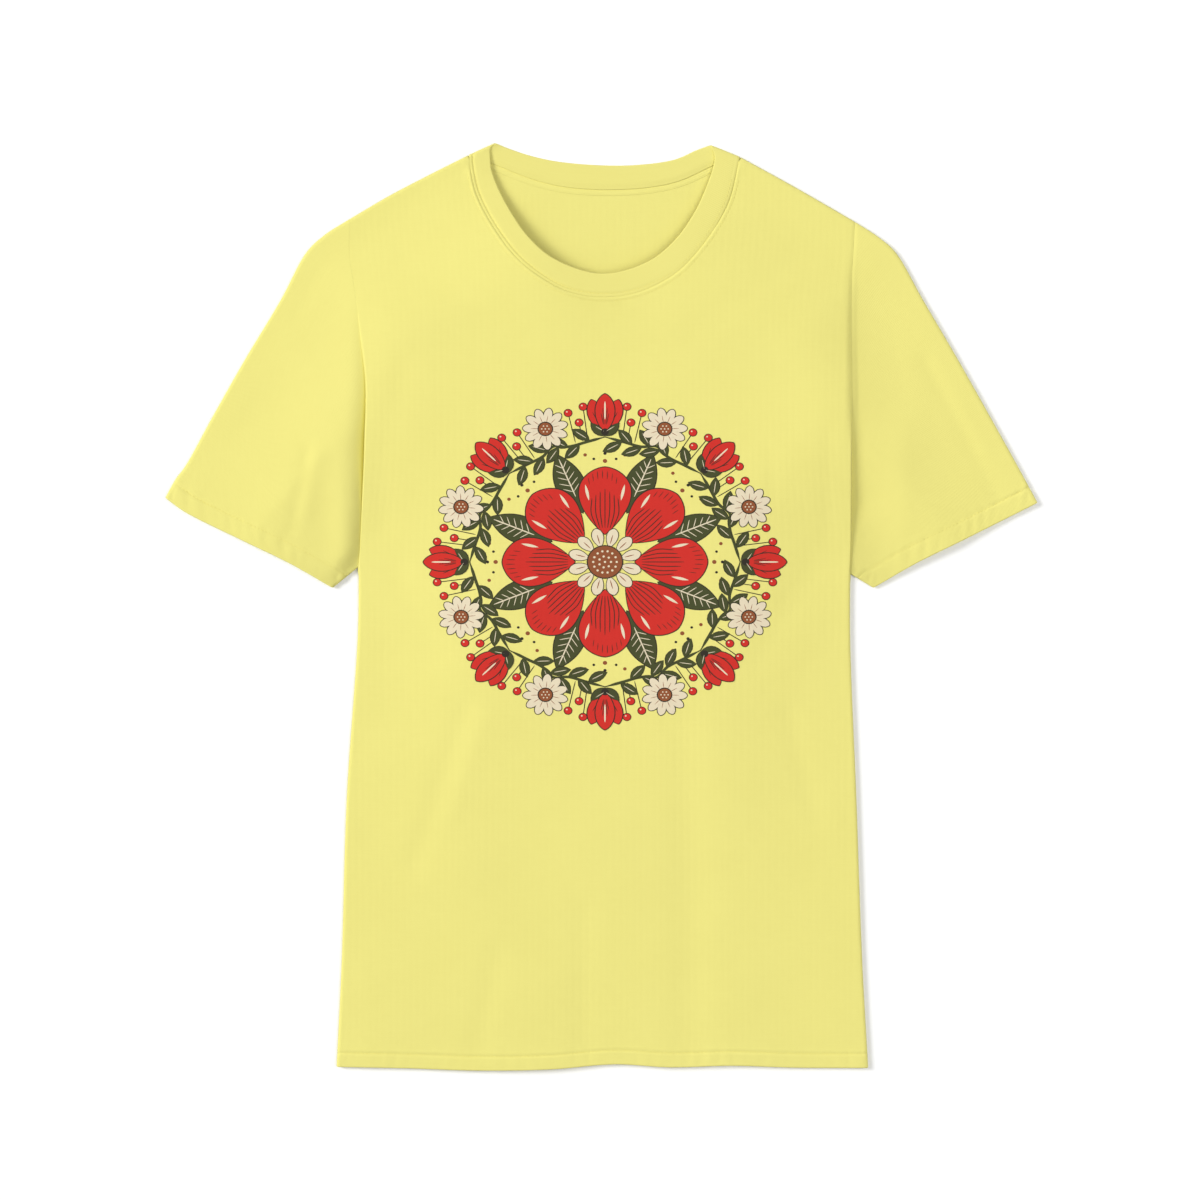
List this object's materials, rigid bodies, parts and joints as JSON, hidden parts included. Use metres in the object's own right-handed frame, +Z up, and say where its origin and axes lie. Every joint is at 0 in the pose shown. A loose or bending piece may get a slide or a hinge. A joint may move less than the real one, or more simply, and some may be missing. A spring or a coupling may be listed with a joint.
{
  "type": "short-sleeved T-shirt",
  "caption": "Short-sleeved crew-neck T-shirt laid flat with its front up: front and back panels, set-in sleeves, ribbed neck band and neck tape, with air kept between the layers.",
  "frame": {"origin": "on the surface the shirt lies on, under the middle of its overall length and width", "axes": "+X across the shirt towards the wearer's left sleeve, +Y from the hem to the neck, +Z up from the surface through the back to the front"},
  "size_m": [0.669, 0.711, 0.0155],
  "materials": {
    "jersey": "fine plain cotton jersey, pale yellow, matt",
    "rib": "one-by-one rib knit, pale yellow, matt",
    "tape": "folded jersey tape, pale yellow, matt"
  },
  "bodies": {
    "root": {"front_panel": "jersey", "back_panel": "jersey", "right_sleeve": "jersey", "left_sleeve": "jersey", "neck_rib": "rib", "neck_tape": "tape"}
  },
  "joints": []
}
